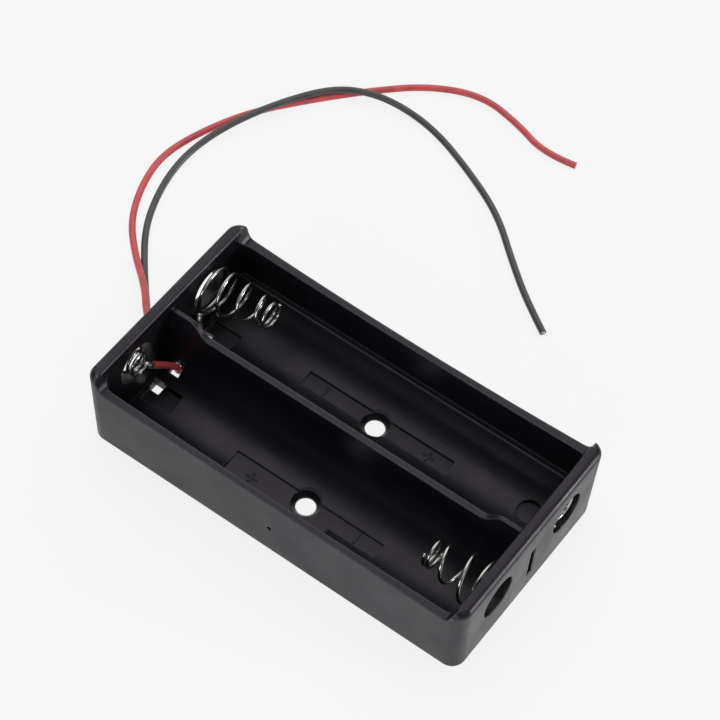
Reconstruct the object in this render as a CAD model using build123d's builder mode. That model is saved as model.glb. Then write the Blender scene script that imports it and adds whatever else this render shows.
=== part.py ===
from build123d import *

import os
from math import atan, degrees, hypot, radians, sqrt, tan

os.makedirs("parts", exist_ok=True)

# Millimetres. X runs along the cells with the lead end at -X, Y across them, Z up from the base.

# Tray outside
base_length = 77.0
base_width = 41.0
end_height = 18.0
side_drop = 3.4
side_sag = 0.5
side_bow = 0.5
wall_flare = 0.5
corner_radius = 2.6
brim_round = 1.3
inner_brim_round = 0.6
foot_round = 0.4
rim_drop_inset = 0.9
rim_drop_run = 3.0
gate_mark_diameter = 0.9
gate_mark_depth = 0.5
gate_mark_height = 6.8

# Tray inside
end_wall = 2.0
side_wall = 1.2
floor_thickness = 1.5
divider_thickness = 1.6
divider_top_thickness = 0.7
ledge_height = 6.4
divider_end_drop = 2.2
divider_dip = 2.7
divider_rise_inset = 3.5
divider_rise_run = 5.0
inner_corner_radius = 2.2

# Features of the floor
pad_depth = 0.2
pad_length = 31.0
pad_to_divider = 1.25
pad_to_wall = 1.95
pad_wide_to_wall = 7.15
pad_wide_end = 6.0
screw_hole_diameter = 3.6
screw_head_diameter = 5.4
bay_length = 5.9
bay_inset = 1.0
bay_to_divider = 3.85
bay_to_wall = 0.45
bay_depth = 0.4
square_hole = 2.0
drain_hole_inset = 1.75
drain_hole_offset = 3.1
lead_hole_inset = 3.3
lead_hole_offset = 2.5
ejector_diameter = 4.4
ejector_depth = 0.15
ejector_inset = 5.3
ejector_offset = 1.4

# Hollow under the divider and the openings of the end walls
hollow_half_width = 5.0
hollow_skin = 1.0
contact_hole_diameter = 8.0
lead_slot_width = 1.5
lead_slot_height = 8.0
link_notch_length = 1.6
link_notch_height = 1.8
link_notch_half_width = 2.0

# Contacts of spring wire
contact_wire = 0.65
contact_clearance = 0.1
wire_sides = 6
base_radius = 4.5
base_turns = 1.0
base_pitch = 0.85
spring_turns = 2.0
spring_tip_radius = 2.4
spring_tip_turns = 1.5
negative_spring_length = 13.4
link_spring_length = 11.6
coil_recess = 1.1
coil_hole_clearance = 0.2
coil_base_turns = 0.75
coil_base_pitch = 0.2
coil_spiral_turns = 0.8
coil_spiral_pitch = 0.5
coil_radius = 2.0
coil_turns = 2.0
coil_pitch = 0.8

# Leads, series link and solder
lead_diameter = 1.3
lead_spacing = 1.4
lead_clearance = 0.05
lead_hole_rise = 1.0
red_rise_inset = 0.6
red_rise_run = 0.8
black_dip_run = 1.6
dip_height = 2.1
slot_approach = 1.5
link_diameter = 0.8
link_drop = 2.6
link_reach = 2.4
link_slant = 0.2
solder_radius = 0.8
solder_gap = 0.1

# Values worked out from the sizes above
half_length = base_length / 2
half_width = base_width / 2
inner_half_length = half_length - end_wall
wall_inside = half_width - side_wall
divider_half = divider_thickness / 2
channel_half = (wall_inside - divider_half) / 2
channel_y = divider_half + channel_half
axis_height = floor_thickness + channel_half
ledge_y = channel_y + sqrt(channel_half**2 - (axis_height - ledge_height) ** 2)
above = end_height + 2.0
side_height = end_height - side_drop
divider_end_height = end_height - divider_end_drop
divider_height = divider_end_height - divider_dip
divider_top_half = divider_top_thickness / 2
rim_drop_start = half_length - rim_drop_inset
rim_drop_end = rim_drop_start - rim_drop_run
divider_rise_end = inner_half_length - divider_rise_inset
divider_rise_start = divider_rise_end - divider_rise_run
pad_inner = channel_y - pad_to_divider
pad_outer = channel_y + pad_to_wall
pad_wide_outer = channel_y + pad_wide_to_wall
bay_x = inner_half_length - bay_inset - bay_length / 2
bay_width = bay_to_divider + bay_to_wall
bay_y = channel_y + (bay_to_wall - bay_to_divider) / 2
drain_hole_x = inner_half_length - drain_hole_inset
drain_hole_y = channel_y - drain_hole_offset
lead_hole_x = inner_half_length - lead_hole_inset
lead_hole_y = divider_half + lead_hole_offset
ejector_x = inner_half_length - ejector_inset
wire_radius = contact_wire / 2
contact_x = inner_half_length - wire_radius - contact_clearance
coil_x = inner_half_length + coil_recess
coil_base_radius = contact_hole_diameter / 2 - wire_radius - coil_hole_clearance
skin_radius = channel_half + hollow_skin
lead_fit = skin_radius + lead_diameter / 2 + lead_clearance
red_exit_height = axis_height - sqrt(lead_fit**2 - channel_y**2)
black_exit_height = red_exit_height - lead_spacing
lead_slot_foot = black_exit_height - lead_diameter / 2 - lead_clearance
exit_x = half_length + wall_flare * red_exit_height / end_height
hole_edge_height = axis_height - sqrt(channel_half**2 - (channel_y - lead_hole_y) ** 2)
hole_entry_height = hole_edge_height + lead_hole_rise
link_height = axis_height - link_drop

# Routes of the loose leads beyond the slot in the end wall, down to the surface and to their cut ends
lead_rest = lead_diameter / 2
lead_over = lead_rest + lead_spacing
red_route = [
    (-41.6, 0.0, red_exit_height),
    (-45.2, 1.3, 5.9),
    (-49.7, 6.1, 3.9),
    (-57.2, 12.9, lead_rest),
    (-62.0, 19.4, lead_rest),
    (-65.4, 26.8, lead_rest),
    (-66.9, 34.6, lead_rest),
    (-64.7, 43.4, lead_rest),
    (-60.3, 53.0, lead_rest),
    (-53.6, 61.9, lead_rest),
    (-45.6, 71.2, lead_rest),
    (-37.6, 79.0, lead_rest),
    (-28.2, 83.4, lead_rest),
    (-19.0, 81.9, lead_rest),
    (-11.0, 79.0, lead_rest),
    (-4.6, 80.2, lead_rest),
]
black_route = [
    (-41.3, 0.0, black_exit_height),
    (-45.0, 1.15, 4.4),
    (-49.5, 5.6, 2.2),
    (-54.2, 12.0, lead_rest),
    (-58.8, 19.6, lead_rest),
    (-62.0, 27.6, lead_rest),
    (-63.4, 35.2, lead_rest),
    (-62.6, 42.2, 1.3),
    (-60.0, 49.8, lead_over),
    (-56.2, 58.2, lead_over),
    (-51.2, 65.9, lead_over),
    (-45.6, 69.6, lead_over),
    (-38.8, 71.6, 1.0),
    (-30.0, 70.8, lead_rest),
    (-20.0, 66.9, lead_rest),
    (-9.8, 61.8, lead_rest),
    (-1.4, 54.4, lead_rest),
    (5.8, 48.6, lead_rest),
    (11.9, 44.7, lead_rest),
]


def brim_outline(plane, grow, bow):
    """Rounded rectangle around the base, grown on every side, long sides curved in by bow."""
    x = half_length + grow
    y = half_width + grow
    flat_x = x - corner_radius
    flat_y = y - corner_radius
    with BuildSketch(plane) as outline:
        with BuildLine():
            Line((x, -flat_y), (x, flat_y))
            CenterArc((flat_x, flat_y), corner_radius, 0, 90)
            if bow:
                ThreePointArc((flat_x, y), (0, y - bow), (-flat_x, y))
            else:
                Line((flat_x, y), (-flat_x, y))
            CenterArc((-flat_x, flat_y), corner_radius, 90, 90)
            Line((-x, flat_y), (-x, -flat_y))
            CenterArc((-flat_x, -flat_y), corner_radius, 180, 90)
            if bow:
                ThreePointArc((-flat_x, -y), (0, bow - y), (flat_x, -y))
            else:
                Line((-flat_x, -y), (flat_x, -y))
            CenterArc((flat_x, -flat_y), corner_radius, 270, 90)
        make_face()
    return outline.sketch


def trough_section(plane, side):
    """Round bed of one cell, up to the ledge on the side wall."""
    with BuildSketch(plane) as section:
        with BuildLine():
            ThreePointArc(
                (side * divider_half, axis_height),
                (side * channel_y, floor_thickness),
                (side * ledge_y, ledge_height),
            )
            Polyline(
                (side * ledge_y, ledge_height),
                (side * channel_y, ledge_height),
                (side * channel_y, axis_height),
                (side * divider_half, axis_height),
            )
        make_face()
    return section.sketch


def divider_side_section(plane, side):
    """Upper half of a channel next to the divider, whose side leans in towards its top."""
    with BuildSketch(plane) as section:
        with BuildLine():
            Polyline(
                (side * divider_half, axis_height),
                (side * divider_top_half, divider_end_height),
                (side * divider_top_half, above),
                (side * channel_y, above),
                (side * channel_y, axis_height),
                close=True,
            )
        make_face()
    return section.sketch


def pocket_outline(plane, side):
    """Plan of the outer half of a channel, with rounded corners at the side wall."""
    with BuildSketch(plane) as outline:
        with Locations((0, side * (channel_y + wall_inside) / 2)):
            Rectangle(2 * inner_half_length, wall_inside - channel_y)
        at_wall = outline.vertices().filter_by(lambda v: abs(abs(v.Y) - wall_inside) < 0.01)
        fillet(at_wall, inner_corner_radius)
    return outline.sketch


def rim_profile(plane, reach):
    """Area above a side rim: it drops from the end walls and sags slightly, out to reach at both ends."""
    start_height = end_height + brim_round / 4
    with BuildSketch(plane) as profile:
        with BuildLine():
            Spline(
                (-rim_drop_start, start_height), (-rim_drop_end, side_height), tangents=((1, -0.4), (1, 0))
            )
            ThreePointArc(
                (-rim_drop_end, side_height), (0, side_height - side_sag), (rim_drop_end, side_height)
            )
            Spline((rim_drop_end, side_height), (rim_drop_start, start_height), tangents=((1, 0), (1, 0.4)))
            Polyline(
                (rim_drop_start, start_height),
                (rim_drop_start, above),
                (-rim_drop_start, above),
                (-rim_drop_start, start_height),
            )
        make_face()
        with Locations((0, above / 2)):
            Rectangle(2 * reach, above, mode=Mode.INTERSECT)
    return profile.sketch


with BuildPart() as tray:
    # Flared outside with bowed long sides and a rounded brim
    foot = brim_outline(Plane.XY, 0, 0)
    brim = brim_outline(Plane.XY.offset(end_height), wall_flare, side_bow)
    loft(sections=[foot, brim], ruled=True)
    fillet(tray.faces().sort_by(Axis.Z)[-1].edges(), brim_round)
    fillet(tray.faces().sort_by(Axis.Z)[0].edges(), foot_round)

    # Two cell channels, each a round bed below a pocket with rounded corners
    for side in (1, -1):
        bed = trough_section(Plane.YZ.offset(-inner_half_length), side)
        extrude(bed, amount=2 * inner_half_length, mode=Mode.SUBTRACT)
        upper = divider_side_section(Plane.YZ.offset(-inner_half_length), side)
        extrude(upper, amount=2 * inner_half_length, mode=Mode.SUBTRACT)
        pocket = pocket_outline(Plane.XY.offset(ledge_height), side)
        extrude(pocket, amount=above, mode=Mode.SUBTRACT)

    # Divider with raised ends
    with BuildSketch(Plane.XZ):
        with BuildLine():
            Line((-inner_half_length, divider_end_height), (-divider_rise_end, divider_end_height))
            Spline(
                (-divider_rise_end, divider_end_height),
                (-divider_rise_start, divider_height),
                tangents=((1, 0), (1, 0)),
            )
            Line((-divider_rise_start, divider_height), (divider_rise_start, divider_height))
            Spline(
                (divider_rise_start, divider_height),
                (divider_rise_end, divider_end_height),
                tangents=((1, 0), (1, 0)),
            )
            Polyline(
                (divider_rise_end, divider_end_height),
                (inner_half_length, divider_end_height),
                (inner_half_length, above),
                (-inner_half_length, above),
                (-inner_half_length, divider_end_height),
            )
        make_face()
    extrude(amount=divider_thickness, both=True, mode=Mode.SUBTRACT)

    # Side walls lower than the end walls, with the inner corners sloping down to them
    rim_cut = half_width + wall_flare - wall_inside + side_wall
    corner_inside = wall_inside - inner_corner_radius
    for side in (1, -1):
        over_wall = rim_profile(Plane.XZ.offset(side * wall_inside), half_length)
        extrude(over_wall, amount=side * rim_cut, mode=Mode.SUBTRACT)
        over_corner = rim_profile(Plane.XZ.offset(side * corner_inside), inner_half_length)
        extrude(over_corner, amount=side * inner_corner_radius, mode=Mode.SUBTRACT)

    # Rounded inner brim of the end walls
    inner_brim = tray.edges().filter_by(Axis.Y).filter_by(
        lambda e: abs(abs(e.center().X) - inner_half_length) < 0.01
        and abs(e.center().Z - end_height) < 0.01
    )
    fillet(inner_brim, inner_brim_round)

    # Flat pads around the screw holes, the near one widened to the wall at the lead end
    pad_floor = floor_thickness - pad_depth
    pad_middle = (pad_inner + pad_outer) / 2
    with BuildSketch(Plane.XY.offset(pad_floor)):
        with Locations((0, pad_middle), (0, -pad_middle)):
            Rectangle(pad_length, pad_outer - pad_inner)
        wide_length = pad_length / 2 + pad_wide_end
        with Locations((pad_wide_end - wide_length / 2, -(pad_inner + pad_wide_outer) / 2)):
            RectangleRounded(wide_length, pad_wide_outer - pad_inner, corner_radius)
    extrude(amount=ledge_height, mode=Mode.SUBTRACT)
    with Locations((0, channel_y, pad_floor), (0, -channel_y, pad_floor)):
        CounterSinkHole(screw_hole_diameter / 2, screw_head_diameter / 2)

    # Contact bays and square openings at the lead end, and the ejector mark in the far channel
    with BuildSketch(Plane.XY.offset(floor_thickness - bay_depth)):
        with Locations((-bay_x, bay_y), (-bay_x, -bay_y)):
            Rectangle(bay_length, bay_width)
    extrude(amount=ledge_height, mode=Mode.SUBTRACT)
    with BuildSketch(Plane.XY):
        with Locations((-drain_hole_x, drain_hole_y), (-drain_hole_x, -drain_hole_y)):
            Rectangle(square_hole, square_hole)
        with Locations((-lead_hole_x, lead_hole_y), (-lead_hole_x, -lead_hole_y)):
            Rectangle(square_hole, square_hole)
    extrude(amount=axis_height, mode=Mode.SUBTRACT)
    with BuildSketch(Plane.XY.offset(floor_thickness - ejector_depth)):
        with Locations((ejector_x, channel_y + ejector_offset)):
            Circle(ejector_diameter / 2)
    extrude(amount=ejector_diameter / 2, mode=Mode.SUBTRACT)

    # Hollow under the divider, open below
    hollow_top = axis_height - sqrt(skin_radius**2 - channel_y**2)
    hollow_side = axis_height - sqrt(skin_radius**2 - (channel_y - hollow_half_width) ** 2)
    hollow_mid_y = hollow_half_width / 2
    hollow_mid = axis_height - sqrt(skin_radius**2 - (channel_y - hollow_mid_y) ** 2)
    with BuildSketch(Plane.YZ.offset(-inner_half_length)):
        with BuildLine():
            ThreePointArc(
                (-hollow_half_width, hollow_side), (-hollow_mid_y, hollow_mid), (0, hollow_top)
            )
            ThreePointArc(
                (0, hollow_top), (hollow_mid_y, hollow_mid), (hollow_half_width, hollow_side)
            )
            Polyline(
                (hollow_half_width, hollow_side),
                (hollow_half_width, -floor_thickness),
                (-hollow_half_width, -floor_thickness),
                (-hollow_half_width, hollow_side),
            )
        make_face()
    extrude(amount=2 * inner_half_length, mode=Mode.SUBTRACT)

    # Round contact holes and the upright lead slot in both end walls
    with BuildSketch(Plane.YZ.offset(-base_length)):
        with Locations((channel_y, axis_height), (-channel_y, axis_height)):
            Circle(contact_hole_diameter / 2)
    extrude(amount=2 * base_length, mode=Mode.SUBTRACT)
    for end in (1, -1):
        with BuildSketch(Plane.YZ.offset(end * inner_half_length)):
            with Locations((0, lead_slot_foot + lead_slot_height / 2)):
                Rectangle(lead_slot_width, lead_slot_height)
        extrude(amount=end * (end_wall + 2 * wall_flare), mode=Mode.SUBTRACT)

    # Notch for the series link at the plain end of the divider, and the gate mark on the near side
    with BuildSketch(Plane.XZ):
        with Locations((inner_half_length - link_notch_length / 2, link_height)):
            Rectangle(link_notch_length, link_notch_height)
    extrude(amount=link_notch_half_width, both=True, mode=Mode.SUBTRACT)
    with BuildSketch(Plane.XZ.offset(half_width)):
        with Locations((0, gate_mark_height)):
            Circle(gate_mark_diameter / 2)
    extrude(amount=gate_mark_depth, both=True, mode=Mode.SUBTRACT)
tray.part.label = "tray"
export_step(tray.part, "parts/tray.step")


def wire_form(plane, turns):
    """Spring wire wound along the plane's normal, each entry giving turns, pitch and both radii."""
    edges = []
    height = 0.0
    angle = 0.0
    for count, pitch, start_radius, end_radius in turns:
        rise = count * pitch
        slant_pitch = hypot(rise, end_radius - start_radius) / count
        cone = degrees(atan((end_radius - start_radius) / rise))
        start = plane.location * Location((0, 0, height), (0, 0, angle))
        edges.append(start * Helix(slant_pitch, rise, start_radius, cone_angle=cone))
        height += rise
        angle += 360 * count
    path = Wire(edges)
    with BuildPart() as form:
        with BuildSketch(Plane(path @ 0, z_dir=path % 0)):
            RegularPolygon(wire_radius, wire_sides)
        sweep(path=path, is_frenet=True, transition=Transition.TRANSFORMED)
    return form.part


def corner_radii(spots):
    """Arc radius at each corner of a route, as large as the shorter run there allows."""
    radii = []
    for before, corner, after in zip(spots, spots[1:], spots[2:]):
        turn = (corner - before).get_angle(after - corner)
        shorter = min((corner - before).length, (after - corner).length)
        radii.append(0.45 * shorter / tan(radians(turn / 2)))
    return radii


def tube(name, spots, diameter):
    """Round wire along straight runs and arcs, its volume set against section times length."""
    radii = corner_radii(spots)
    with BuildPart() as wire:
        with BuildLine() as path:
            FilletPolyline(*spots, radius=radii)
        with BuildSketch(Plane(path.line @ 0, z_dir=path.line % 0)) as section:
            Circle(diameter / 2)
        sweep()
    length = path.wire().length
    print(name, "length", round(length, 2), "radii", [round(radius, 1) for radius in radii])
    print(name, "volume share", round(wire.part.volume / (section.sketch.area * length), 4))
    return wire.part


def keep(part, name):
    """Label a finished piece and write it out."""
    part.label = name
    export_step(part, f"parts/{name}.step")


def seat(end, side, x):
    """Plane of a contact's base turn, wound from its lower inner side towards the cell."""
    return Plane((end * x, side * channel_y, axis_height), x_dir=(0, -side, -1), z_dir=(-end, 0, 0))


def spring_windings(length):
    """Closed base turn, open cone and closed tip turns of a negative spring."""
    rise = length - contact_wire - base_pitch * (base_turns + spring_tip_turns)
    return [
        (base_turns, base_pitch, base_radius, base_radius),
        (spring_turns, rise / spring_turns, base_radius, spring_tip_radius),
        (spring_tip_turns, base_pitch, spring_tip_radius, spring_tip_radius),
    ]


# Springs at the far lead end and the near plain end; positive coils seated in the holes facing them
coil_windings = [
    (coil_base_turns, coil_base_pitch, coil_base_radius, coil_base_radius),
    (coil_spiral_turns, coil_spiral_pitch, coil_base_radius, coil_radius),
    (coil_turns, coil_pitch, coil_radius, coil_radius),
]
keep(wire_form(seat(-1, 1, contact_x), spring_windings(negative_spring_length)), "negative_spring")
keep(wire_form(seat(1, -1, contact_x), spring_windings(link_spring_length)), "link_spring")
keep(wire_form(seat(-1, -1, coil_x), coil_windings), "positive_coil")
keep(wire_form(seat(1, 1, coil_x), coil_windings), "link_coil")


def solder(end, side, radius, name):
    """Drop of solder on the lower inner side of a contact of that radius; gives its middle."""
    reach = (radius + wire_radius + solder_gap + solder_radius) / sqrt(2)
    spot = Vector(end * (inner_half_length - solder_radius), side * (channel_y - reach), axis_height - reach)
    with BuildPart() as drop:
        with Locations(spot):
            Sphere(solder_radius)
    keep(drop.part, name)
    return spot


def wire_end(spot, toward):
    """Where a wire that heads for a point leaves its drop of solder."""
    return spot + (toward - spot).normalized() * (solder_radius + solder_gap)


black_spot = solder(-1, 1, base_radius, "black_solder")
red_spot = solder(-1, -1, coil_radius, "red_solder")
link_coil_spot = solder(1, 1, coil_radius, "link_coil_solder")
link_spring_spot = solder(1, -1, base_radius, "link_spring_solder")


def hole_descent(spot, side):
    """Points of a lead from its solder to the square opening and down into the hollow."""
    entry = Vector(-lead_hole_x, side * lead_hole_y, hole_entry_height)
    below = Vector(-lead_hole_x, side * (lead_hole_y - lead_diameter / 3), dip_height + lead_diameter / 3)
    return [wire_end(spot, entry), entry, below]


def lead(inside, exit_height, route, name):
    """Lead from its solder through the hollow and out of the slot, then its loose length."""
    leaving = Vector(-exit_x, 0, exit_height)
    keep(tube(name + "_tail", inside + [leaving], lead_diameter), name + "_tail")
    keep(tube(name, [leaving] + [Vector(*point) for point in route], lead_diameter), name)


# The red lead rises to the top of the hollow first and passes over the black one into the slot
red_rise_x = red_rise_inset - lead_hole_x
red_inside = hole_descent(red_spot, -1) + [
    Vector(red_rise_x, 0, dip_height + lead_diameter / 3),
    Vector(red_rise_x - red_rise_run, 0, red_exit_height),
]
black_inside = hole_descent(black_spot, 1) + [
    Vector(-lead_hole_x - black_dip_run, lead_hole_y * 0.6, dip_height),
    Vector(slot_approach - inner_half_length, 0, black_exit_height),
]
lead(red_inside, red_exit_height, red_route, "red_lead")
lead(black_inside, black_exit_height, black_route, "black_lead")

# Series link through the notch at the plain end of the divider
far_bend = Vector(link_coil_spot.X, link_reach, link_height + link_slant)
near_bend = Vector(link_spring_spot.X - link_slant, -link_reach, link_height - link_slant)
link_points = [
    wire_end(link_coil_spot, far_bend),
    far_bend,
    near_bend,
    wire_end(link_spring_spot, near_bend),
]
keep(tube("series_link", link_points, link_diameter), "series_link")
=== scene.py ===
"""Finish of a cylindrical cell holder: moulded tray, wire contacts, soldered leads and the stage."""

from math import cos, radians, sin

import bpy
import numpy as np
from mathutils import Matrix, Vector


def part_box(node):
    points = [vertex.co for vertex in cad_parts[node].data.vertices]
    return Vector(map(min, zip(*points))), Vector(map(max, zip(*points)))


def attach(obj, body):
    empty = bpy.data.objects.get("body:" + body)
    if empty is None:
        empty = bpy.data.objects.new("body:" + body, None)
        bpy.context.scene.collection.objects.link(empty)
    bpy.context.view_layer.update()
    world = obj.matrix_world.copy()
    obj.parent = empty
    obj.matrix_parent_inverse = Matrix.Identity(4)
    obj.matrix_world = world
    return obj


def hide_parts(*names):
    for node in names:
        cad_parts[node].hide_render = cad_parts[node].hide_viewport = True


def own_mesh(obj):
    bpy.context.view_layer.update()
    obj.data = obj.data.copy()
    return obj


bl_info = {
    "name": "Cylindrical cell holder",
    "version": (1, 0, 0),
    "blender": (4, 5, 0),
    "location": "View3D > Sidebar > Cell holder",
    "description": "Dresses the packed cell holder with its finishes, wire contacts and leads",
    "category": "Object",
}

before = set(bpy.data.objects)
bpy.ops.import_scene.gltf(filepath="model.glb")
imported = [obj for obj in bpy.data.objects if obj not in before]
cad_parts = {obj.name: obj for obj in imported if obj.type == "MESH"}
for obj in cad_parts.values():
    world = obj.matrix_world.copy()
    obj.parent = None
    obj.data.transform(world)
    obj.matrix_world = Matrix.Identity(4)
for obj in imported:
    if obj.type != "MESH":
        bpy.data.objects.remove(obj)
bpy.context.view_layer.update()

MM = 0.001

# Middle of the channels, the planes of the base turns of the springs and of the positive coils, and the
# plane of the turn that takes a positive coil's solder
CHANNEL_Y = 10.05 * MM
AXIS_Z = 10.75 * MM
SPRING_X = 36.075 * MM
COIL_X = 38.05 * MM
COIL_SOLDER_X = COIL_X - 1.7 * MM

# Routes of the loose leads, from the slot in the end wall to their cut ends
RED_ROUTE = [
    (-38.678, 0.0, 6.403),
    (-41.6, 0.0, 6.403),
    (-44.4, 2.1, 5.9),
    (-48.8, 7.2, 3.9),
    (-56.6, 13.8, 0.65),
    (-62.0, 19.4, 0.65),
    (-65.4, 26.8, 0.65),
    (-66.9, 34.6, 0.65),
    (-64.7, 43.4, 0.65),
    (-60.3, 53.0, 0.65),
    (-53.6, 61.9, 0.65),
    (-45.6, 71.2, 0.65),
    (-37.6, 79.0, 0.65),
    (-28.2, 83.4, 0.65),
    (-19.0, 81.9, 0.65),
    (-11.0, 79.0, 0.65),
    (-4.6, 80.2, 0.65),
]
BLACK_ROUTE = [
    (-38.678, 0.0, 5.003),
    (-41.3, 0.0, 5.003),
    (-43.9, 1.9, 4.4),
    (-48.4, 6.9, 2.2),
    (-53.6, 12.8, 0.65),
    (-58.8, 19.6, 0.65),
    (-62.0, 27.6, 0.65),
    (-63.4, 35.2, 0.65),
    (-62.6, 42.2, 1.3),
    (-60.0, 49.8, 2.05),
    (-56.2, 58.2, 2.05),
    (-51.2, 65.9, 2.05),
    (-45.6, 69.6, 2.05),
    (-38.8, 71.6, 1.0),
    (-30.0, 70.8, 0.65),
    (-20.0, 66.9, 0.65),
    (-9.8, 61.8, 0.65),
    (-1.4, 54.4, 0.65),
    (5.8, 48.6, 0.65),
    (11.9, 44.7, 0.65),
]

# Routes inside the tray: from the solder through the square openings and the hollow under the divider
RED_TAIL = [
    (-35.32, -7.09, 8.01),
    (-33.2, -3.3, 5.43),
    (-33.2, -2.87, 2.53),
    (-32.6, 0.0, 2.53),
    (-33.4, 0.0, 6.403),
    (-38.678, 0.0, 6.403),
]
BLACK_TAIL = [
    (-35.12, 5.38, 6.41),
    (-33.2, 3.3, 5.43),
    (-33.2, 2.87, 2.53),
    (-34.8, 1.98, 2.1),
    (-35.0, 0.0, 5.003),
    (-38.678, 0.0, 5.003),
]

# Route of the series link through the notch at the plain end of the divider
LINK_ROUTE = [
    (35.7, 6.87, 8.45),
    (35.7, 2.4, 8.35),
    (35.5, -2.4, 7.95),
    (35.65, -5.15, 7.0),
]


class HolderWire(bpy.types.PropertyGroup):
    """Sizes of the spring wire contacts."""

    thickness: bpy.props.FloatProperty(
        name="Wire thickness", description="Diameter of the spring wire", default=0.65 * MM, unit="LENGTH"
    )
    base_radius: bpy.props.FloatProperty(
        name="Base radius", description="Radius of the turn at the end wall",
        default=4.5 * MM, unit="LENGTH"
    )
    tip_radius: bpy.props.FloatProperty(
        name="Tip radius", description="Radius of a spring's tip turns", default=2.4 * MM, unit="LENGTH"
    )
    coil_base_radius: bpy.props.FloatProperty(
        name="Coil base radius", description="Radius of a positive coil in its hole",
        default=2.9 * MM, unit="LENGTH"
    )
    coil_radius: bpy.props.FloatProperty(
        name="Coil radius", description="Radius of a positive coil's tip turns",
        default=2.0 * MM, unit="LENGTH"
    )
    link: bpy.props.FloatProperty(
        name="Link thickness", description="Diameter of the series link", default=0.8 * MM, unit="LENGTH"
    )
    colour: bpy.props.FloatVectorProperty(
        name="Plating", description="Colour of the nickel plating", default=(0.46, 0.45, 0.43),
        size=3, subtype="COLOR", min=0.0, max=1.0
    )


class HolderLeads(bpy.types.PropertyGroup):
    """Sizes and colours of the leads."""

    thickness: bpy.props.FloatProperty(
        name="Lead thickness", description="Diameter over the insulation", default=1.3 * MM, unit="LENGTH"
    )
    red_length: bpy.props.FloatProperty(
        name="Red length", description="Loose length of the red lead", default=136.0 * MM, unit="LENGTH"
    )
    black_length: bpy.props.FloatProperty(
        name="Black length", description="Loose length of the black lead", default=151.5 * MM, unit="LENGTH"
    )
    red: bpy.props.FloatVectorProperty(
        name="Red", description="Colour of the red insulation", default=(0.60, 0.085, 0.095),
        size=3, subtype="COLOR", min=0.0, max=1.0
    )
    black: bpy.props.FloatVectorProperty(
        name="Black", description="Colour of the black insulation", default=(0.062, 0.061, 0.063),
        size=3, subtype="COLOR", min=0.0, max=1.0
    )


class HolderPlastic(bpy.types.PropertyGroup):
    """Finish of the moulded tray."""

    colour: bpy.props.FloatVectorProperty(
        name="Moulding", description="Colour of the moulded plastic", default=(0.0044, 0.0040, 0.0058),
        size=3, subtype="COLOR", min=0.0, max=1.0
    )
    roughness: bpy.props.FloatProperty(
        name="Roughness", description="Middle roughness of the moulding", default=0.36,
        subtype="FACTOR", min=0.0, max=1.0
    )
    edge: bpy.props.FloatProperty(
        name="Edge rounding", description="Radius along the moulded edges", default=0.5 * MM, unit="LENGTH"
    )
    # Lighter colour mixed in along the outer edges: a painted highlight for the light that the rounded
    # edges catch.
    painted_edge_highlight: bpy.props.FloatVectorProperty(
        name="Rubbed edges", description="Colour of the moulding where its edges are worn",
        default=(0.070, 0.066, 0.072), size=3, subtype="COLOR", min=0.0, max=1.0
    )
    mark: bpy.props.FloatProperty(
        name="Polarity mark", description="Length of the bars of a moulded polarity mark",
        default=2.4 * MM, unit="LENGTH"
    )


class HolderStage(bpy.types.PropertyGroup):
    """Camera and backdrop."""

    azimuth: bpy.props.FloatProperty(
        name="Azimuth", description="Turn of the view from straight along +Y",
        default=radians(32.774), subtype="ANGLE"
    )
    elevation: bpy.props.FloatProperty(
        name="Elevation", description="Height of the view above the floor",
        default=radians(55.276), subtype="ANGLE"
    )
    roll: bpy.props.FloatProperty(
        name="Roll", description="Turn of the picture", default=radians(4.155), subtype="ANGLE"
    )
    position: bpy.props.FloatVectorProperty(
        name="Camera position", description="Where the camera stands",
        default=(0.13608, -0.20774, 0.39123), size=3, subtype="TRANSLATION"
    )
    lens: bpy.props.FloatProperty(
        name="Lens", description="Focal length in millimetres", default=134.46
    )
    paper: bpy.props.FloatVectorProperty(
        name="Backdrop", description="Colour of the floor", default=(0.95, 0.95, 0.95),
        size=3, subtype="COLOR", min=0.0, max=1.0
    )


def new_finish(name):
    """An empty node material with its Principled shader and Object coordinates."""
    finish = bpy.data.materials.new(name)
    finish.use_nodes = True
    nodes = finish.node_tree.nodes
    shader = nodes["Principled BSDF"]
    place = nodes.new("ShaderNodeTexCoord")
    return finish, shader, place.outputs["Object"]


def noise(finish, coordinates, scale, detail):
    """Noise with features about one over scale metres wide."""
    texture = finish.node_tree.nodes.new("ShaderNodeTexNoise")
    texture.inputs["Scale"].default_value = scale
    texture.inputs["Detail"].default_value = detail
    finish.node_tree.links.new(coordinates, texture.inputs["Vector"])
    return texture.outputs["Fac"]


def spread(finish, value, low, high):
    """Map the middle half of a noise to the range from low to high."""
    node = finish.node_tree.nodes.new("ShaderNodeMapRange")
    node.inputs["From Min"].default_value = 0.25
    node.inputs["From Max"].default_value = 0.75
    node.inputs["To Min"].default_value = low
    node.inputs["To Max"].default_value = high
    finish.node_tree.links.new(value, node.inputs["Value"])
    return node.outputs["Result"]


def tint(finish, value, dark, light):
    """Colour between dark and light by a value from 0 to 1."""
    ramp = finish.node_tree.nodes.new("ShaderNodeValToRGB")
    ramp.color_ramp.elements[0].position = 0.3
    ramp.color_ramp.elements[0].color = (*dark, 1.0)
    ramp.color_ramp.elements[1].position = 0.7
    ramp.color_ramp.elements[1].color = (*light, 1.0)
    finish.node_tree.links.new(value, ramp.inputs["Fac"])
    return ramp.outputs["Color"]


def relief(finish, height, depth, strength, normal=None):
    """Bump of a given depth in metres, laid over another normal where one is given."""
    node = finish.node_tree.nodes.new("ShaderNodeBump")
    node.inputs["Distance"].default_value = depth
    node.inputs["Strength"].default_value = strength
    finish.node_tree.links.new(height, node.inputs["Height"])
    if normal is not None:
        finish.node_tree.links.new(normal, node.inputs["Normal"])
    return node.outputs["Normal"]


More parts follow.
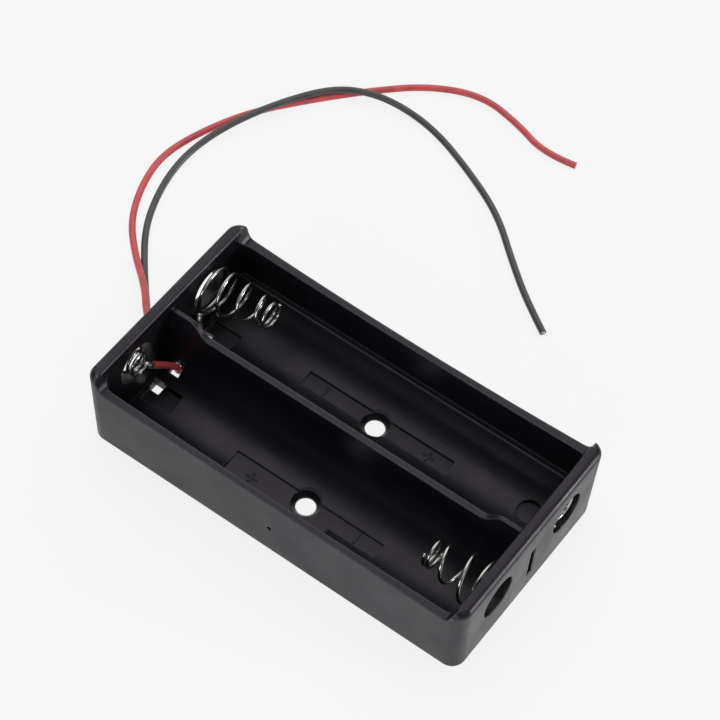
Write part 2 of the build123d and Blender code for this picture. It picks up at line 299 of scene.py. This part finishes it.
def edge_highlight_share(finish, edge):
    """Share of the painted edge highlight: 1 along outer edges, where the rounded normal leaves the flat
    one, 0 in corners.
    """
    nodes = finish.node_tree.nodes
    links = finish.node_tree.links
    shape = nodes.new("ShaderNodeNewGeometry")
    turn = nodes.new("ShaderNodeVectorMath")
    turn.operation = "DOT_PRODUCT"
    links.new(edge, turn.inputs[0])
    links.new(shape.outputs["Normal"], turn.inputs[1])
    edge_share = nodes.new("ShaderNodeMapRange")
    edge_share.inputs["From Min"].default_value = 0.995
    edge_share.inputs["From Max"].default_value = 0.90
    links.new(turn.outputs["Value"], edge_share.inputs["Value"])
    corner = nodes.new("ShaderNodeAmbientOcclusion")
    corner.samples = 8
    corner.only_local = True
    corner.inputs["Distance"].default_value = 1.0 * MM
    open_side = nodes.new("ShaderNodeMapRange")
    open_side.inputs["From Min"].default_value = 0.8
    open_side.inputs["From Max"].default_value = 0.97
    links.new(corner.outputs["AO"], open_side.inputs["Value"])
    share = nodes.new("ShaderNodeMath")
    share.operation = "MULTIPLY"
    links.new(edge_share.outputs["Result"], share.inputs[0])
    links.new(open_side.outputs["Result"], share.inputs[1])
    return share.outputs["Value"]


def tray_plastic(plastic):
    """Black satin moulding: fine eroded grain, faint flow marks, rounded edges and a painted highlight
    along the outer edges.
    """
    finish, shader, place = new_finish("tray_plastic")
    nodes = finish.node_tree.nodes
    links = finish.node_tree.links
    edge = nodes.new("ShaderNodeBevel")
    edge.samples = 6
    edge.inputs["Radius"].default_value = plastic.edge
    colour = np.array(plastic.colour)
    cloud = noise(finish, place, 55.0, 4.0)
    # The outer edges are mixed towards a lighter colour: a painted highlight for the light that the rounded
    # edges catch.
    edge_highlight_mix = nodes.new("ShaderNodeMix")
    edge_highlight_mix.data_type = "RGBA"
    links.new(edge_highlight_share(finish, edge.outputs["Normal"]), edge_highlight_mix.inputs["Factor"])
    links.new(tint(finish, cloud, colour * 0.8, colour * 1.5), edge_highlight_mix.inputs["A"])
    edge_highlight_mix.inputs["B"].default_value = (*plastic.painted_edge_highlight, 1.0)
    links.new(edge_highlight_mix.outputs["Result"], shader.inputs["Base Color"])
    smudge = noise(finish, place, 130.0, 5.0)
    links.new(
        spread(finish, smudge, plastic.roughness - 0.07, plastic.roughness + 0.09),
        shader.inputs["Roughness"],
    )
    grain = relief(finish, noise(finish, place, 3200.0, 2.0), 0.02 * MM, 0.16, edge.outputs["Normal"])
    ripple = relief(finish, noise(finish, place, 190.0, 4.0), 0.08 * MM, 0.4, grain)
    links.new(ripple, shader.inputs["Normal"])
    shader.inputs["Specular IOR Level"].default_value = 0.36
    shader.inputs["Specular Tint"].default_value = (0.97, 0.89, 1.0, 1.0)
    return finish


def nickel_wire(wire):
    """Bright plated spring wire with faint drawing lines along it."""
    finish, shader, _ = new_finish("contact_wire")
    links = finish.node_tree.links
    strip = finish.node_tree.nodes.new("ShaderNodeUVMap")
    strip.uv_map = "wire"
    stretch = finish.node_tree.nodes.new("ShaderNodeMapping")
    stretch.inputs["Scale"].default_value = (0.4, 26.0, 1.0)
    links.new(strip.outputs["UV"], stretch.inputs["Vector"])
    lines = noise(finish, stretch.outputs["Vector"], 1.0, 4.0)
    colour = np.array(wire.colour)
    bright = np.minimum(colour * 1.12, 1.0)
    links.new(tint(finish, lines, colour * 0.86, bright), shader.inputs["Base Color"])
    links.new(spread(finish, lines, 0.14, 0.26), shader.inputs["Roughness"])
    links.new(relief(finish, lines, 0.01 * MM, 0.25), shader.inputs["Normal"])
    shader.inputs["Metallic"].default_value = 1.0
    return finish


def bright_solder():
    """Smooth tin solder with a slightly frosted skin."""
    finish, shader, place = new_finish("solder")
    links = finish.node_tree.links
    frost = noise(finish, place, 1800.0, 4.0)
    links.new(tint(finish, frost, (0.55, 0.55, 0.55), (0.78, 0.78, 0.77)), shader.inputs["Base Color"])
    links.new(spread(finish, frost, 0.2, 0.4), shader.inputs["Roughness"])
    links.new(relief(finish, frost, 0.02 * MM, 0.3), shader.inputs["Normal"])
    shader.inputs["Metallic"].default_value = 1.0
    return finish


def tinned_wire(name):
    """Tinned copper wire, duller than the plated contacts, with faint streaks."""
    finish, shader, place = new_finish(name)
    links = finish.node_tree.links
    streak = noise(finish, place, 900.0, 4.0)
    links.new(tint(finish, streak, (0.46, 0.45, 0.44), (0.66, 0.65, 0.64)), shader.inputs["Base Color"])
    links.new(spread(finish, streak, 0.28, 0.45), shader.inputs["Roughness"])
    links.new(relief(finish, streak, 0.02 * MM, 0.2), shader.inputs["Normal"])
    shader.inputs["Metallic"].default_value = 1.0
    return finish


def insulation(name, colour):
    """Soft vinyl insulation with faint scuffs."""
    finish, shader, place = new_finish(name)
    links = finish.node_tree.links
    colour = np.array(colour)
    pale = np.minimum(colour * 1.15, 1.0)
    scuff = noise(finish, place, 420.0, 4.0)
    links.new(tint(finish, scuff, colour * 0.85, pale), shader.inputs["Base Color"])
    links.new(spread(finish, scuff, 0.3, 0.46), shader.inputs["Roughness"])
    links.new(relief(finish, noise(finish, place, 2400.0, 2.0), 0.015 * MM, 0.2), shader.inputs["Normal"])
    shader.inputs["Subsurface Weight"].default_value = 0.05
    shader.inputs["Subsurface Radius"].default_value = (0.6 * MM, 0.25 * MM, 0.2 * MM)
    return finish


def show(name, data, body, finish, slot, *nodes):
    """A finished piece that rides on a body and stands for the named nodes."""
    piece = bpy.data.objects.new(name, data)
    bpy.context.scene.collection.objects.link(piece)
    data.materials.append(finish)
    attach(piece, body)
    if nodes:
        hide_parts(*nodes)
    return piece


def tube_mesh(name, rings, lengths):
    """Closed tube through rings[i, j]: quads between neighbouring rings, one polygon at each end.

    Its map "wire" holds the length along the tube in millimetres and the share of the way around.
    """
    along, around = rings.shape[:2]
    index = np.arange(along * around).reshape(along, around)
    turned = np.roll(index, -1, axis=1)
    quads = np.stack([index[:-1], turned[:-1], turned[1:], index[1:]], axis=-1).reshape(-1, 4)
    faces = quads.tolist()
    faces.append(index[0, ::-1].tolist())
    faces.append(index[-1].tolist())
    mesh = bpy.data.meshes.new(name)
    mesh.from_pydata(rings.reshape(-1, 3).tolist(), [], faces)
    mesh.polygons.foreach_set("use_smooth", np.ones(len(faces), bool))
    corner = np.empty(len(mesh.loops), np.int32)
    mesh.loops.foreach_get("vertex_index", corner)
    strip = mesh.uv_layers.new(name="wire")
    uv = np.stack([lengths[corner // around] / MM, (corner % around) / around], axis=1)
    strip.data.foreach_set("uv", uv.astype(np.float32).ravel())
    mesh.update()
    return mesh


def wound_wire(name, seat_x, end, side, windings, thickness, lean=(0.0, 0.0)):
    """Wire wound from a seat on an end wall; a winding gives its turns, its pitch and its end radii.

    At angle a the wire's middle is at radius r(a) and height h(a), both linear within each winding and
    smoothed over a seventh of a turn; its section is a circle across the tangent. Lean moves the free end
    sideways, by one minus the square of the share of height that is left.
    """
    steps_per_turn = 64
    smoothed = 4
    turns = np.cumsum([0.0] + [count for count, _, _, _ in windings])
    heights = np.cumsum([0.0] + [count * pitch for count, pitch, _, _ in windings])
    knots = np.stack([turns[:-1], turns[1:] - 1e-6], axis=1).ravel()
    radii = np.array([(first, last) for _, _, first, last in windings]).ravel()
    steps = int(turns[-1] * steps_per_turn)
    turn = np.linspace(0.0, turns[-1], steps + 1)
    window = np.ones(2 * smoothed + 1) / (2 * smoothed + 1)
    radius = np.convolve(np.pad(np.interp(turn, knots, radii), smoothed, mode="edge"), window, mode="valid")
    height = np.interp(turn, turns, heights)
    slope = np.convolve(np.pad(np.diff(height), smoothed, mode="edge"), window, mode="valid")
    height = np.concatenate([[0.0], np.cumsum(slope)])
    angle = 2.0 * np.pi * turn
    outward = np.array([0.0, -side, -1.0]) / np.sqrt(2.0)
    axis = np.array([-float(end), 0.0, 0.0])
    across = np.cross(axis, outward)
    spoke = np.outer(np.cos(angle), outward) + np.outer(np.sin(angle), across)
    seat = np.array([end * seat_x, side * CHANNEL_Y, AXIS_Z])
    share = 1.0 - (1.0 - height / height[-1]) ** 2
    shift = np.outer(share, [0.0, lean[0], lean[1]])
    path = seat + spoke * radius[:, None] + np.outer(height, axis) + shift
    tangent = np.gradient(path, axis=0)
    tangent /= np.linalg.norm(tangent, axis=1, keepdims=True)
    normal = spoke - tangent * np.sum(spoke * tangent, axis=1, keepdims=True)
    normal /= np.linalg.norm(normal, axis=1, keepdims=True)
    binormal = np.cross(tangent, normal)
    lengths = np.concatenate([[0.0], np.cumsum(np.linalg.norm(np.diff(path, axis=0), axis=1))])
    around = np.linspace(0.0, 2.0 * np.pi, 16, endpoint=False)
    inset = np.minimum(lengths, lengths[-1] - lengths) / (0.35 * thickness)
    section = 0.5 * thickness * np.sqrt(np.clip(0.3 + 0.7 * inset, 0.0, 1.0))
    ring = normal[:, None] * np.cos(around)[:, None] + binormal[:, None] * np.sin(around)[:, None]
    return tube_mesh(name, path[:, None] + ring * section[:, None, None], lengths)


def lead_curve(name, route, thickness):
    """Round lead on one smooth open spline with the route's points as its control points."""
    curve = bpy.data.curves.new(name, "CURVE")
    curve.dimensions = "3D"
    curve.resolution_u = 16
    curve.bevel_depth = thickness / 2
    curve.bevel_resolution = 5
    curve.use_fill_caps = True
    spline = curve.splines.new("NURBS")
    spline.points.add(len(route) - 1)
    points = np.column_stack([np.array(route) * MM, np.ones(len(route))])
    spline.points.foreach_set("co", points.ravel())
    spline.order_u = 3
    spline.use_endpoint_u = True
    return curve


def solder_drop(name, centre, contact, radius):
    """Drop of solder over a wire's end, drawn out to the contact it joins.

    On angles u around and v from pole to pole, the radius is the drop's own, waved slightly by two sines;
    the half towards the contact is stretched to reach it and the other half by a third.
    """
    drawn = np.array(centre, float) - np.array(contact, float)
    gap = np.linalg.norm(drawn)
    drawn /= gap
    side = np.cross(drawn, [0.0, 0.0, 1.0])
    side /= np.linalg.norm(side)
    upward = np.cross(side, drawn)
    rows = 20
    body = 0.86
    v = np.linspace(0.02, np.pi - 0.02, rows)[:, None]
    u = np.linspace(0.0, 2.0 * np.pi, 28, endpoint=False)[None, :]
    reach = radius * (body + 0.05 * np.sin(2 * u + 1.0) * np.sin(v) + 0.04 * np.sin(3 * v))
    ahead = reach * np.cos(v) * np.where(np.cos(v) > 0, 1.3, gap / (body * radius))
    rings = (
        np.array(centre)
        + ahead[..., None] * drawn
        + (reach * np.sin(v) * np.cos(u))[..., None] * side
        + (reach * np.sin(v) * np.sin(u))[..., None] * upward
    )
    lengths = np.linspace(0.0, 2 * radius, rows)
    return tube_mesh(name, rings[::-1], lengths)


def raised_bar(name, centre, length, width, height):
    """Moulded bar with rounded ends and a soft top.

    Around angle u its outline is a superellipse of power 0.4, drawn in and raised in four steps.
    """
    u = np.linspace(0.0, 2.0 * np.pi, 48, endpoint=False)
    inset = np.array([0.0, 0.0, 0.12, 0.4])[:, None] * height
    level = np.array([-0.3, 0.6, 0.9, 1.0])[:, None] * height
    outline_x = np.sign(np.cos(u)) * np.abs(np.cos(u)) ** 0.4
    outline_y = np.sign(np.sin(u)) * np.abs(np.sin(u)) ** 0.4
    rings = np.stack([
        centre[0] + (length / 2 - inset) * outline_x,
        centre[1] + (width / 2 - inset) * outline_y,
        centre[2] + level + 0.0 * outline_x,
    ], axis=-1)
    return tube_mesh(name, rings, np.linspace(0.0, height, 4))


def strand_ends(name, tip, heading, radius):
    """Cut strands at a lead's end: a rod along the heading whose radius swells at six lobes."""
    heading = np.array(heading) / np.linalg.norm(heading)
    side = np.cross(heading, [0.0, 0.0, 1.0])
    side /= np.linalg.norm(side)
    upward = np.cross(side, heading)
    u = np.linspace(0.0, 2.0 * np.pi, 48, endpoint=False)
    reach = radius * (0.84 + 0.16 * np.cos(6.0 * u))
    spoke = np.outer(np.cos(u), side) + np.outer(np.sin(u), upward)
    ahead = np.array([-0.4, 0.04, 0.07]) * MM
    share = np.array([1.0, 1.0, 0.8])
    rings = np.array(tip) + ahead[:, None, None] * heading + share[:, None, None] * reach[:, None] * spoke
    return tube_mesh(name, rings[:, ::-1], ahead - ahead[0])


class DressTray(bpy.types.Operator):
    """Gives the moulded tray its satin black finish and its plain polarity marks."""

    bl_idname = "cell_holder.dress_tray"
    bl_label = "Dress the tray"

    def execute(self, context):
        finish = tray_plastic(context.scene.holder_plastic)
        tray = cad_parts["tray"]
        tray.data.materials.clear()
        tray.data.materials.append(finish)
        mark = context.scene.holder_plastic.mark
        stroke = 0.5 * MM
        height = 0.14 * MM
        bars = [
            ("far_minus", (-11.0, 10.4, 1.3), stroke, mark),
            ("far_plus_across", (11.0, 10.4, 1.3), stroke, mark),
            ("far_plus_along", (11.0, 10.4, 1.29), mark, stroke),
            ("near_plus_across", (-10.5, -11.6, 1.3), stroke, mark),
            ("near_plus_along", (-10.5, -11.6, 1.29), mark, stroke),
            ("near_minus", (11.0, -10.4, 1.3), stroke, mark),
        ]
        for name, centre, length, width in bars:
            mesh = raised_bar(name, np.array(centre) * MM, length, width, height)
            show(name, mesh, "holder", finish, "tray_plastic")
        return {"FINISHED"}


class WindContacts(bpy.types.Operator):
    """Winds the springs and the positive coils from round plated wire."""

    bl_idname = "cell_holder.wind_contacts"
    bl_label = "Wind the contacts"

    def execute(self, context):
        wire = context.scene.holder_wire
        finish = nickel_wire(wire)
        far_lean = (1.2 * MM, 1.2 * MM)
        near_lean = (0.0, 0.5 * MM)
        springs = [
            ("negative_spring", -1, 1, "lead_end_spring", "negative_spring_press", 3.0, far_lean),
            ("link_spring", 1, -1, "plain_end_spring", "link_spring_press", 2.0, near_lean),
        ]
        pitch = 0.85 * MM
        base_turns = 1.0
        tip_turns = 1.5
        for node, end, side, body, joint, turns, lean in springs:
            low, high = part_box(node)
            length = high.x - low.x
            rise = length - wire.thickness - (base_turns + tip_turns) * pitch
            windings = [
                (base_turns, pitch, wire.base_radius, wire.base_radius),
                (turns, rise / turns, wire.base_radius, wire.tip_radius),
                (tip_turns, pitch, wire.tip_radius, wire.tip_radius),
            ]
            mesh = wound_wire(node + "_wire", SPRING_X, end, side, windings, wire.thickness, lean)
            piece = show(node + "_wire", mesh, body, finish, "contact_wire", node)
            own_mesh(piece)
        coil = [
            (0.5, 0.2 * MM, wire.coil_base_radius, wire.coil_base_radius),
            (0.5, 0.9 * MM, wire.coil_base_radius, wire.coil_radius),
            (2.0, 0.95 * MM, wire.coil_radius, wire.coil_radius),
        ]
        for node, end, side in (("positive_coil", -1, -1), ("link_coil", 1, 1)):
            mesh = wound_wire(node + "_wire", COIL_X, end, side, coil, wire.thickness)
            show(node + "_wire", mesh, "holder", finish, "contact_wire", node)
        return {"FINISHED"}


class SolderContacts(bpy.types.Operator):
    """Sets the drops of solder that join the wires to the contacts."""

    bl_idname = "cell_holder.solder_contacts"
    bl_label = "Solder the contacts"

    def execute(self, context):
        wire = context.scene.holder_wire
        finish = bright_solder()
        # The solder ends this far outside the middle of the contact's wire
        grip = 0.3 * wire.thickness
        joints = [
            ("red_solder", -1, -1, COIL_SOLDER_X, wire.coil_radius),
            ("black_solder", -1, 1, SPRING_X, wire.base_radius),
            ("link_coil_solder", 1, 1, COIL_SOLDER_X, wire.coil_radius),
            ("link_spring_solder", 1, -1, SPRING_X, wire.base_radius),
        ]
        for node, end, side, contact_x, reach in joints:
            low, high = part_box(node)
            radius = (high.x - low.x) / 2
            aside = (reach + grip) / np.sqrt(2.0)
            contact = (end * contact_x, side * (CHANNEL_Y - aside), AXIS_Z - aside)
            mesh = solder_drop(node + "_drop", (low + high) / 2, contact, radius)
            show(node + "_drop", mesh, "holder", finish, "solder", node)
        link = lead_curve("series_link_wire", LINK_ROUTE, wire.link)
        show("series_link_wire", link, "holder", tinned_wire("tinned_link"), "contact_wire", "series_link")
        return {"FINISHED"}


class RunLeads(bpy.types.Operator):
    """Runs the red and the black lead from their solder out to the cut ends."""

    bl_idname = "cell_holder.run_leads"
    bl_label = "Run the leads"

    def execute(self, context):
        leads = context.scene.holder_leads
        runs = [
            ("red_lead", RED_ROUTE, RED_TAIL, leads.red, leads.red_length, "red_insulation"),
            ("black_lead", BLACK_ROUTE, BLACK_TAIL, leads.black, leads.black_length, "black_insulation"),
        ]
        copper = tinned_wire("tinned_strands")
        for node, route, tail, colour, length, slot in runs:
            finish = insulation(slot, colour)
            loose = lead_curve(node + "_loose", route, leads.thickness)
            piece = show(node + "_loose", loose, "holder", finish, slot, node)
            heading = np.array(route[-1]) - np.array(route[-2])
            strands = strand_ends(node + "_strands", np.array(route[-1]) * MM, heading, leads.thickness / 4)
            core = show(node + "_strands", strands, "holder", copper, "solder")
            held = lead_curve(node + "_held", tail, leads.thickness)
            show(node + "_held", held, "holder", finish, slot, node + "_tail")
        return {"FINISHED"}


class SetStage(bpy.types.Operator):
    """Sets the pale floor, the soft lamps and the camera."""

    bl_idname = "cell_holder.set_stage"
    bl_label = "Set the stage"

    def execute(self, context):
        scene = context.scene
        stage = scene.holder_stage
        scene.view_settings.view_transform = "Standard"
        self.floor(stage)
        self.world(scene)
        self.lamps()
        self.camera(scene, stage)
        return {"FINISHED"}

    def floor(self, stage):
        """Pale floor that keeps a faint shadow."""
        reach = 3.0
        level = -0.03 * MM
        glow_share = 0.88
        mesh = bpy.data.meshes.new("floor")
        outline = ((-reach, -reach), (reach, -reach), (reach, reach), (-reach, reach))
        mesh.from_pydata([(x, y, level) for x, y in outline], [], [(0, 1, 2, 3)])
        floor = bpy.data.objects.new("floor", mesh)
        bpy.context.scene.collection.objects.link(floor)
        paper, shader, _ = new_finish("paper")
        nodes = paper.node_tree.nodes
        links = paper.node_tree.links
        shader.inputs["Base Color"].default_value = (*stage.paper, 1.0)
        shader.inputs["Roughness"].default_value = 0.9
        shader.inputs["Specular IOR Level"].default_value = 0.1
        glow = nodes.new("ShaderNodeEmission")
        glow.inputs["Color"].default_value = (*stage.paper, 1.0)
        mix = nodes.new("ShaderNodeMixShader")
        path = nodes.new("ShaderNodeLightPath")
        share = nodes.new("ShaderNodeMath")
        share.operation = "MULTIPLY"
        share.inputs[1].default_value = glow_share
        seen = nodes.new("ShaderNodeMath")
        seen.operation = "MAXIMUM"
        mirrored = nodes.new("ShaderNodeMath")
        mirrored.operation = "MAXIMUM"
        links.new(path.outputs["Is Glossy Ray"], mirrored.inputs[0])
        links.new(path.outputs["Is Transmission Ray"], mirrored.inputs[1])
        links.new(path.outputs["Is Camera Ray"], seen.inputs[0])
        links.new(mirrored.outputs[0], seen.inputs[1])
        links.new(seen.outputs[0], share.inputs[0])
        links.new(share.outputs[0], mix.inputs["Fac"])
        links.new(shader.outputs["BSDF"], mix.inputs[1])
        links.new(glow.outputs["Emission"], mix.inputs[2])
        links.new(mix.outputs["Shader"], nodes["Material Output"].inputs["Surface"])
        mesh.materials.append(paper)

    def world(self, scene):
        """Even pale surround."""
        world = bpy.data.worlds.new("surround")
        world.use_nodes = True
        surround = world.node_tree.nodes["Background"]
        surround.inputs["Color"].default_value = (0.93, 0.93, 0.94, 1.0)
        surround.inputs["Strength"].default_value = 0.11
        scene.world = world

    def lamps(self):
        """Soft lamps: above and behind, above the plain end, low at the plain end and low in front."""
        lamps = [
            ("over", (-0.3, 0.45, 0.8), 1.6, 10.5),
            ("key", (0.6, -0.25, 0.76), 0.4, 0.8),
            ("right_end", (0.8, 0.45, 0.14), 0.25, 4.0),
            ("front", (0.05, -0.9, 0.29), 0.55, 3.6),
        ]
        for name, place, size, power in lamps:
            lamp = bpy.data.lights.new(name, "AREA")
            lamp.size = size
            lamp.energy = power
            holder = bpy.data.objects.new(name, lamp)
            holder.location = place
            holder.rotation_euler = (-Vector(place)).to_track_quat("-Z", "Y").to_euler()
            bpy.context.scene.collection.objects.link(holder)

    def camera(self, scene, stage):
        """Camera at the photograph's angle: right, up and back make its axes."""
        right = Vector((cos(stage.azimuth), sin(stage.azimuth), 0.0))
        back = Vector((
            sin(stage.azimuth) * cos(stage.elevation),
            -cos(stage.azimuth) * cos(stage.elevation),
            sin(stage.elevation),
        ))
        up = back.cross(right)
        turned = cos(stage.roll) * right + sin(stage.roll) * up
        raised = cos(stage.roll) * up - sin(stage.roll) * right
        data = bpy.data.cameras.new("camera")
        data.sensor_width = 36.0
        data.lens = stage.lens
        data.clip_start = 0.01
        camera = bpy.data.objects.new("camera", data)
        axes = Matrix((turned, raised, back)).transposed().to_4x4()
        camera.matrix_world = Matrix.Translation(Vector(stage.position)) @ axes
        scene.collection.objects.link(camera)
        scene.camera = camera


class CellHolderPanel(bpy.types.Panel):
    """Lists the steps that dress the cell holder."""

    bl_idname = "VIEW3D_PT_cell_holder"
    bl_label = "Cell holder"
    bl_space_type = "VIEW_3D"
    bl_region_type = "UI"
    bl_category = "Cell holder"

    def draw(self, context):
        layout = self.layout
        for step in STEPS:
            layout.operator(step.bl_idname)
        for name in SETTINGS:
            group = getattr(context.scene, name)
            box = layout.box()
            for key in SETTINGS[name].__annotations__:
                box.prop(group, key)


STEPS = (DressTray, WindContacts, SolderContacts, RunLeads, SetStage)
SETTINGS = {
    "holder_plastic": HolderPlastic,
    "holder_wire": HolderWire,
    "holder_leads": HolderLeads,
    "holder_stage": HolderStage,
}


def register():
    for name, group in SETTINGS.items():
        bpy.utils.register_class(group)
        setattr(bpy.types.Scene, name, bpy.props.PointerProperty(type=group))
    for step in STEPS:
        bpy.utils.register_class(step)
    bpy.utils.register_class(CellHolderPanel)


def unregister():
    bpy.utils.unregister_class(CellHolderPanel)
    for step in reversed(STEPS):
        bpy.utils.unregister_class(step)
    for name, group in SETTINGS.items():
        delattr(bpy.types.Scene, name)
        bpy.utils.unregister_class(group)


def main():
    register()
    bpy.ops.cell_holder.dress_tray()
    bpy.ops.cell_holder.wind_contacts()
    bpy.ops.cell_holder.solder_contacts()
    bpy.ops.cell_holder.run_leads()
    bpy.ops.cell_holder.set_stage()


if __name__ == "__main__":
    main()
